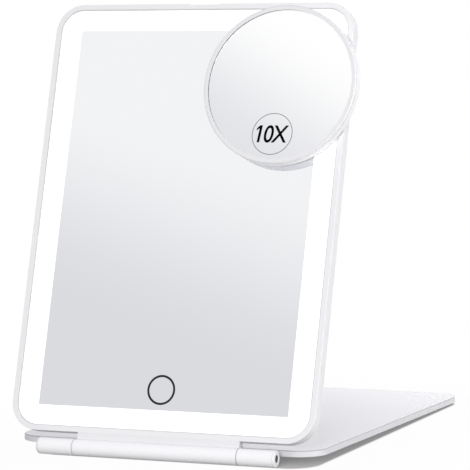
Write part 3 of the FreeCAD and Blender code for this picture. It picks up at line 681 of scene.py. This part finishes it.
for piece, coat_of, node in ((knuckle, hinge_white, "hinge_knuckle_right"),
                             (arm, arm_painted_shade, "hinge_knuckle_right"),
                             (knuckle_left, hinge_white, "hinge_knuckle_left"),
                             (arm_left, arm_painted_shade, "hinge_knuckle_left")):
    stand(piece, lid_turn)
    finish_piece(piece, coat_of, "stand", [node])

# %% [markdown]
# ## End plugs
# A rounded cap closes each end of the barrel, with a stub that fits the knuckle's bore and a small round
# recess in its middle. Both are made by insetting a face and pushing it along the axis, which keeps the cap
# one clean surface. A thin dark cup of its own lines the recess: painted shade that darkens the recess.

# %% End plugs
plug_high = flat_box("hinge_end_plug_right", lid_turn)[1]
recess_radius, recess_depth = 1.95 * mm, 2.2 * mm
cap_round, recess_round = 1.0 * mm, 0.2 * mm
recess_shade_wall, recess_shade_setback = 0.05 * mm, 0.25 * mm

end_cap = drum("hinge_end_cap_right", barrel_radius, (knuckle_outer, 0, 0), (plug_high.x, 0, 0))
round_edges(end_cap, cap_round, full_steps, across(plug_high.x))
round_edges(end_cap, cap_soft, 1, across(knuckle_outer))
sink(end_cap, barrel_radius - cap_soft - plug_radius, (fit - plug_depth, 0, 0), across(knuckle_outer))
sink(end_cap, barrel_radius - cap_round - recess_radius, (-recess_depth, 0, 0), across(plug_high.x))
round_edges(end_cap, recess_round, soft_steps, lambda e: across(plug_high.x)(e) and any(
    abs(f.normal.x) < 1 - nearly_straight for f in e.link_faces))
recess_shade_end = plug_high.x - recess_shade_setback
recess_shade_floor = plug_high.x - recess_depth + fit
recess_shade = drum("hinge_cap_recess_shade_right", recess_radius - fit, (recess_shade_floor, 0, 0), (recess_shade_end, 0, 0))
sink(recess_shade, recess_shade_wall, (recess_shade_floor + recess_shade_wall - recess_shade_end, 0, 0), across(recess_shade_end))
end_cap_left = mirrored(end_cap, "hinge_end_cap_left")
recess_shade_left = mirrored(recess_shade, "hinge_cap_recess_shade_left")
# The caps' darker satin white is partly painted shade on their ends.
for piece, coat_of, node in ((end_cap, hinge_satin, "hinge_end_plug_right"),
                             (recess_shade, recess_shade_grey, "hinge_end_plug_right"),
                             (end_cap_left, hinge_satin, "hinge_end_plug_left"),
                             (recess_shade_left, recess_shade_grey, "hinge_end_plug_left")):
    stand(piece, lid_turn)
    finish_piece(piece, coat_of, "stand", [node])

# %% [markdown]
# ## Lid
# The lid is the panel's twin in outline, a shallow tray with a flat bevel round its outer edge. The bevel's
# own two edges are softened a little, so they catch the light as a moulding does. The hollow has two steps:
# a shallow one that takes the lining, and a deeper one behind it. A slot in the front wall lets each arm's
# flange in.

# %% Lid
lid_soft, lid_under_round, slot_roof = 0.12 * mm, 0.25 * mm, 0.01 * mm
lining_high = flat_box("lid_inner_panel", lid_turn)[1]

lid_shell = tablet("lid_shell", lid_low, lid_high)
round_edges(lid_shell, lid_bevel, 1, level(lid_high.z))
for height in (lid_high.z, lid_high.z - lid_bevel):
    round_edges(lid_shell, lid_soft, soft_steps, level(height))
round_edges(lid_shell, lid_under_round, soft_steps, level(lid_low.z))
sink(lid_shell, lid_wall - lid_under_round, (0, 0, lining_high.z - lid_low.z), level(lid_low.z))
sink(lid_shell, lid_ledge, (0, 0, lid_ceiling - lining_high.z), level(lining_high.z))
for side in (-1, 1):
    inner, outer = sorted((side * (knuckle_low.x + 2 * arm_inset), side * (knuckle_outer - 2 * arm_inset)))
    arm_slot = slab("arm_slot",
                    Vector((inner - socket_gap, lid_low.y - mm, arm_flange_under - socket_gap / 2)),
                    Vector((outer + socket_gap, lid_low.y + 2 * (lid_wall + lid_ledge),
                            lid_ceiling - slot_roof)))
    join_or_cut(lid_shell, arm_slot, "DIFFERENCE")
stand(lid_shell, lid_turn)
finish_piece(lid_shell, lid_painted_shade_white, "stand", ["lid_outer_shell"])

# %% [markdown]
# ## Lid edge
# The bevel is a little glossier than the satin top, and its darker grey is painted shade. A second finish on
# the lid's own faces would do, but a thin skin keeps each piece to one finish: the same block is bevelled
# again, every face but the bevel's is deleted, and a Solidify modifier gives what is left a little body.

# %% Lid edge
least_rise, skin_depth = 0.3, 0.03 * mm
lid_bevel_shade = tablet("lid_bevel_painted_shade", lid_low, lid_high)
round_edges(lid_bevel_shade, lid_bevel, 1, level(lid_high.z))
pick(lid_bevel_shade, "FACE", lambda f: not least_rise < f.normal.z < nearly_straight)
bpy.ops.mesh.delete(type="FACE")
done()
thicken(lid_bevel_shade, skin_depth)
stand(lid_bevel_shade, lid_turn)
finish_piece(lid_bevel_shade, bevel_painted_shade, "stand", ["lid_outer_shell"])

# %% [markdown]
# ## Feet
# Two rubber feet near the lid's far corners level it. Each is a tapered drum, cut flat at the table after it
# is stood in place, with the edge of the cut softened.

# %% Feet
feet_low, feet_high = flat_box("rubber_feet", lid_turn)
foot_radius, foot_taper = 4.5 * mm, 0.86
foot_round, foot_steps = 0.25 * mm, 3
foot_places = [feet_low.x + foot_radius, feet_high.x - foot_radius]
foot_y = (feet_low.y + feet_high.y) / 2
for x, name in zip(foot_places, ("foot_left", "foot_right")):
    foot_end = -2 * barrel_radius
    foot = drum(name, foot_radius, (x, foot_y, foot_end), (x, foot_y, feet_high.z), bore_sides)
    pick(foot, "FACE", level(foot_end))
    bpy.ops.transform.resize(value=(foot_taper, foot_taper, 1))
    done()
    stand(foot, lid_turn)
    pick(foot, "FACE", lambda f: True)
    bpy.ops.mesh.bisect(plane_co=(0, 0, 0), plane_no=(0, 0, -1), clear_outer=True, use_fill=True)
    done()
    round_edges(foot, foot_round, foot_steps, level(0.0))
    finish_piece(foot, foot_rubber, "stand", ["rubber_feet"])

# %% [markdown]
# ## Magnifier
# A round cup with a soft back edge carries a concave mirror, a bevelled ring covers the mirror's edge, and a
# dark gasket lies between them. All four are turned shapes, so they start as cylinders with many sides. The
# mirror's dish is made by insetting its face ring by ring and lowering each ring to the curve. The cup is as
# smooth as the hinge and the ring is satin; the ring's darker white is painted shade, so it stands out from
# the wall behind it.

# %% Magnifier cup and ring
cup_low, cup_high = flat_box("magnifier_housing", panel_turn)
cup_wall, cup_floor, cup_round = 1.25 * mm, 1.2 * mm, 1.2 * mm
joint_soft = 0.12 * mm
ring_bevel, lip_radius, lip_depth = 0.5 * mm, magnifier_radius - 2.4 * mm, 0.4 * mm
turned_sides = 144


def disc(name, radius, low, high):
    """Upright cylinder on the magnifier's axis."""
    at = magnifier_centre
    return drum(name, radius, (at.x, at.y, low), (at.x, at.y, high), turned_sides)


cup = disc("magnifier_cup", magnifier_radius, cup_low.z, cup_high.z)
round_edges(cup, cup_round, full_steps, level(cup_low.z))
round_edges(cup, joint_soft, 1, level(cup_high.z))
sink(cup, cup_wall - joint_soft, (0, 0, cup_low.z + cup_floor - cup_high.z), level(cup_high.z))
stand(cup, panel_turn)
finish_piece(cup, hinge_white, "magnifier", ["magnifier_housing"])

ring = disc("magnifier_ring", magnifier_radius, magnifier_low.z, magnifier_high.z)
lip_under = magnifier_high.z - lip_depth
round_edges(ring, ring_bevel, 1, level(magnifier_high.z))
round_edges(ring, joint_soft, 1, level(magnifier_low.z))
sink(ring, cup_wall - joint_soft, (0, 0, lip_under - magnifier_low.z), level(magnifier_low.z))
for height, radius in ((lip_under, magnifier_radius - cup_wall),
                       (magnifier_high.z, magnifier_radius - ring_bevel)):
    draw_in(ring, radius - lip_radius, level(height))
pierce(ring, turned_sides)
stand(ring, panel_turn)
finish_piece(ring, hinge_satin, "magnifier", ["magnifier_bezel"], smooth=25)

# %% Magnifier mirror
dish_low, dish_high = flat_box("magnifier_mirror", panel_turn)
dish_radius = (dish_high.x - dish_low.x) / 2
dish_curve = 400.0 * mm
dish_rings = 10


def dish_height(radius):
    """Height of the dish above its deepest point."""
    return dish_curve - math.sqrt(dish_curve ** 2 - radius ** 2)


dish_deep = dish_high.z - dish_height(dish_radius)
dish = disc("magnifier_dish", dish_radius, dish_low.z, dish_high.z)
pick(dish, "FACE", level(dish_high.z))
for step in range(1, dish_rings):
    radius = dish_radius * (1 - step / dish_rings)
    drop = dish_height(radius) - dish_height(radius + dish_radius / dish_rings)
    bpy.ops.mesh.inset(thickness=dish_radius / dish_rings, use_even_offset=True)
    bpy.ops.transform.translate(value=(0, 0, drop))
bpy.ops.mesh.poke()
done()
stand(dish, panel_turn)
finish_piece(dish, magnifier_silver, "magnifier", ["magnifier_mirror"], smooth=60)

# %% Magnifier gasket
gasket_low, gasket_high = flat_box("magnifier_gasket", panel_turn)
gasket_setback = 0.08 * mm
gasket = disc("magnifier_dark_ring", dish_radius, gasket_low.z, gasket_high.z)
gasket_hole = disc("gasket_hole", lip_radius + gasket_setback, gasket_low.z - mm, gasket_high.z + mm)
join_or_cut(gasket, gasket_hole, "DIFFERENCE")
stand(gasket, panel_turn)
finish_piece(gasket, gasket_grey, "magnifier", ["magnifier_gasket"])

# %% [markdown]
# ## Printed marks
# The touch key is a thin ring printed on the glass. The magnifier has a fine ring round a plain
# magnification figure. They are real, very thin pieces, so they show in every view. A Shrinkwrap modifier
# could lay them on the dish; here each point is lowered by the formula that shaped it, which is exact.

# %% Printed marks
ink = 0.03 * mm


def printed_ring(name, centre, radius, stroke, z):
    """Flat ring, a stroke wide."""
    bpy.ops.object.select_all(action="DESELECT")
    bpy.ops.mesh.primitive_circle_add(
        vertices=drum_sides, radius=radius, fill_type="NGON", location=(*centre, z))
    piece = bpy.context.object
    piece.name = piece.data.name = name
    bpy.ops.object.transform_apply(location=True, rotation=True, scale=True)
    pick(piece, "FACE", lambda f: True)
    bpy.ops.mesh.inset(thickness=stroke)
    bpy.ops.mesh.delete(type="FACE")
    done()
    return piece


touch_low, touch_high = flat_box("touch_electrode", panel_turn)
touch_centre = (touch_low + touch_high) / 2
touch_radius, touch_stroke = 7.8 * mm, 1.15 * mm
touch_ring = printed_ring("touch_ring", touch_centre.xy, touch_radius, touch_stroke, glass_high.z)
thicken(touch_ring, ink)
stand(touch_ring, panel_turn)
finish_piece(touch_ring, ink_grey, "panel")


def on_dish(piece):
    """Lay a flat print on the magnifier's dish."""
    for vertex in piece.data.vertices:
        away = (vertex.co.xy - magnifier_centre.xy).length
        vertex.co.z = dish_deep + dish_height(away) + 0.5 * ink
    thicken(piece, ink)


mark_place = magnifier_centre + Vector((-1.8, -26.0, 0)) * mm
mark_radius, mark_stroke = 11.15 * mm, 0.35 * mm
mark_ring = printed_ring("magnifier_mark_ring", mark_place.xy, mark_radius, mark_stroke, 0)
on_dish(mark_ring)
stand(mark_ring, panel_turn)
finish_piece(mark_ring, mark_grey, "magnifier")

# %% [markdown]
# ## Magnification figure
# The figure starts as a text object, which becomes a mesh. The plain stroke of its first digit gets a
# small flag, one quad wide, and the whole is squeezed, slanted and centred in its ring.

# %% Magnification figure
figure_size, figure_bold = 13.0 * mm, 0.15 * mm
squeeze, slant, letter_gap = 0.86, 0.1, 0.9
flag_corners = [(0.06, 0.475), (0.19, 0.57), (0.06, 0.575), (0.19, 0.69)]

bpy.ops.object.select_all(action="DESELECT")
bpy.ops.mesh.primitive_plane_add(size=1, location=(0, 0, 0))
flag = bpy.context.object
for vertex, (x, y) in zip(flag.data.vertices, flag_corners):
    vertex.co = Vector((x, y, 0)) * figure_size
bpy.ops.object.select_all(action="DESELECT")
bpy.ops.object.text_add(location=(0, 0, 0))
figure = bpy.context.object
figure.name = "magnifier_figure"
figure.data.body = "10X"
figure.data.size, figure.data.offset = figure_size, figure_bold
figure.data.space_character = letter_gap
bpy.ops.object.convert(target="MESH")
flag.select_set(True)
bpy.ops.object.join()
for vertex in figure.data.vertices:
    vertex.co.x = squeeze * vertex.co.x + slant * vertex.co.y
figure_points = [vertex.co.copy() for vertex in figure.data.vertices]
figure_middle = Vector([(min(p[i] for p in figure_points) + max(p[i] for p in figure_points)) / 2
                        for i in range(3)])
for vertex in figure.data.vertices:
    vertex.co += mark_place - figure_middle
bpy.ops.object.transform_apply(location=True, rotation=True, scale=True)
on_dish(figure)
stand(figure, panel_turn)
finish_piece(figure, figure_black, "magnifier")

# %% [markdown]
# ## Pieces that keep their own shape
# The flat glass, the light band and its grey seal, the lining and the works inside are right as they are,
# and only get a finish.

# %% Finishes on the other solids
kept = {
    mirror_silver: ["mirror_glass"],
    opal_band: ["light_diffuser"],
    lining_white: ["lid_inner_panel"],
    tray_white: ["mirror_tray"],
    board_green: ["led_strip_left", "led_strip_right", "led_strip_bottom", "led_strip_top", "control_board",
                  "charge_board"],
    lamp_phosphor: ["led_chips"],
    contact_copper: ["touch_electrode"],
    cell_foil: ["battery_cell"],
    steel: ["usb_socket", "dock_plate", "leaf_screws", "lid_screws", "hinge_pin_left", "hinge_pin_right",
            "keeper_plates"],
    magnet_nickel: ["closure_magnets", "magnifier_magnet"],
    washer_grey: ["thrust_washers", "friction_bush_left", "friction_bush_right"],
    foot_rubber: ["magnifier_pad"],
    seal_grey: ["light_seal"],
}
for material, names in kept.items():
    for name in names:
        for slot in frame["nodes"][name].material_slots:
            slot.material = material
print("finished solids", sum(len(names) for names in kept.values()))

# %% [markdown]
# ## Table and light
# A white table runs out of sight. Under the lid it is an ordinary matt surface that keeps the shadow; from
# the lid's edge outward it turns to plain white for what the camera and the mirrors see. Light comes from all
# round, with a large soft panel in front and one on the right. A small one behind lights the lid's far end,
# and is kept out of reflections so that it makes no glare there.

# %% Table
def seen_share(tree):
    """1 for what the camera, a reflection or glass sees, and 0 for light that only bounces."""
    path = add(tree, "LightPath")
    seen = add(tree, "Math", operation="MAXIMUM")
    seen_through = add(tree, "Math", operation="MAXIMUM")
    tree.links.new(path.outputs["Is Camera Ray"], seen.inputs[0])
    tree.links.new(path.outputs["Is Glossy Ray"], seen.inputs[1])
    tree.links.new(seen.outputs[0], seen_through.inputs[0])
    tree.links.new(path.outputs["Is Transmission Ray"], seen_through.inputs[1])
    return seen_through.outputs[0]


shade_left, shade_right = 14 * mm, 1.6 * mm
shade_edge, shade_fade = 2 * mm, 120 * mm
shade_share, open_share = 0.19, 0.975
table_size, table_drop, table_tone = 12, 0.05 * mm, 0.42

lid_corner_low, lid_corner_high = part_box("lid_outer_shell")
lid_corner_low.x += shade_left
lid_corner_high.x -= shade_right
lid_corner_low.y = hinge.y
lid_middle = (lid_corner_low + lid_corner_high) / 2
# The core is a metre higher than the lid, so only distance along the table counts.
core_half = (lid_corner_high - lid_corner_low) / 2 - Vector((corner, corner, -1))
bpy.ops.object.select_all(action="DESELECT")
bpy.ops.mesh.primitive_plane_add(size=table_size, location=(0, 0, -table_drop))
table = bpy.context.object
table.name = "table"
table_white = bpy.data.materials.new("table_white")
table_white.use_nodes = True
tree = table_white.node_tree
tree.nodes.clear()
place = add(tree, "TexCoord")
beside = add(tree, "VectorMath", {1: lid_middle}, operation="SUBTRACT")
folded = add(tree, "VectorMath", operation="ABSOLUTE")
outside = add(tree, "VectorMath", {1: core_half}, operation="SUBTRACT")
clear = add(tree, "VectorMath", {1: (0, 0, 0)}, operation="MAXIMUM")
away = add(tree, "VectorMath", operation="LENGTH")
edge = add(tree, "MapRange", {"From Min": corner, "From Max": corner + shade_edge,
                              "To Min": shade_share, "To Max": open_share})
fade = add(tree, "MapRange", {"From Min": corner, "From Max": corner + shade_fade,
                              "To Min": 0.0, "To Max": 1 - open_share}, interpolation_type="SMOOTHSTEP")
whole = add(tree, "Math", operation="ADD")
share = add(tree, "Math", operation="MULTIPLY")
matt = add(tree, "BsdfDiffuse", {"Color": grey(table_tone)})
plain = add(tree, "Emission", {"Color": white, "Strength": 1.0})
mixed = add(tree, "MixShader")
out = add(tree, "OutputMaterial")
tree.links.new(place.outputs["Object"], beside.inputs[0])
steps = [beside, folded, outside, clear, away]
for before, after in zip(steps, steps[1:]):
    tree.links.new(before.outputs[0], after.inputs[0])
for index, part in enumerate((edge, fade)):
    tree.links.new(away.outputs["Value"], part.inputs["Value"])
    tree.links.new(part.outputs["Result"], whole.inputs[index])
tree.links.new(seen_share(tree), share.inputs[0])
tree.links.new(whole.outputs[0], share.inputs[1])
tree.links.new(share.outputs[0], mixed.inputs[0])
tree.links.new(matt.outputs[0], mixed.inputs[1])
tree.links.new(plain.outputs[0], mixed.inputs[2])
tree.links.new(mixed.outputs[0], out.inputs["Surface"])
table.data.materials.append(table_white)
print("table ready")

# %% Light
world = bpy.data.worlds.new("studio")
bpy.context.scene.world = world
world.use_nodes = True
tree = world.node_tree
tree.nodes.clear()
room_tint, room_strength = (0.97, 0.967, 1.0, 1), 0.44
room = add(tree, "Background", {"Color": room_tint, "Strength": room_strength})
paper = add(tree, "Background", {"Color": white, "Strength": 1.0})
mixed = add(tree, "MixShader")
out = add(tree, "OutputWorld")
tree.links.new(seen_share(tree), mixed.inputs[0])
tree.links.new(room.outputs[0], mixed.inputs[1])
tree.links.new(paper.outputs[0], mixed.inputs[2])
tree.links.new(mixed.outputs[0], out.inputs["Surface"])


def soft_panel(name, place, target, size, power):
    """Square area light that looks at a point."""
    lamp = bpy.data.lights.new(name, "AREA")
    lamp.shape, lamp.size, lamp.energy = "SQUARE", size, power
    light = bpy.data.objects.new(name, lamp)
    bpy.context.scene.collection.objects.link(light)
    light.location = place
    light.visible_camera = False
    light.rotation_euler = (Vector(target) - Vector(place)).to_track_quat("-Z", "Y").to_euler()
    return light


mirror_middle, lid_top = (0, -0.05, 0.08), (0.0, 0.08, 0.0)
soft_panel("front", (0.35, -1.85, 0.6), mirror_middle, size=0.8, power=23.0)
soft_panel("right", (1.9, -0.1, 0.25), mirror_middle, size=0.8, power=22.0)
back = soft_panel("back", (0.0, 0.43, 0.30), lid_top, size=0.3, power=2.1)
back.visible_glossy = False
bpy.context.scene.view_settings.view_transform = "Standard"
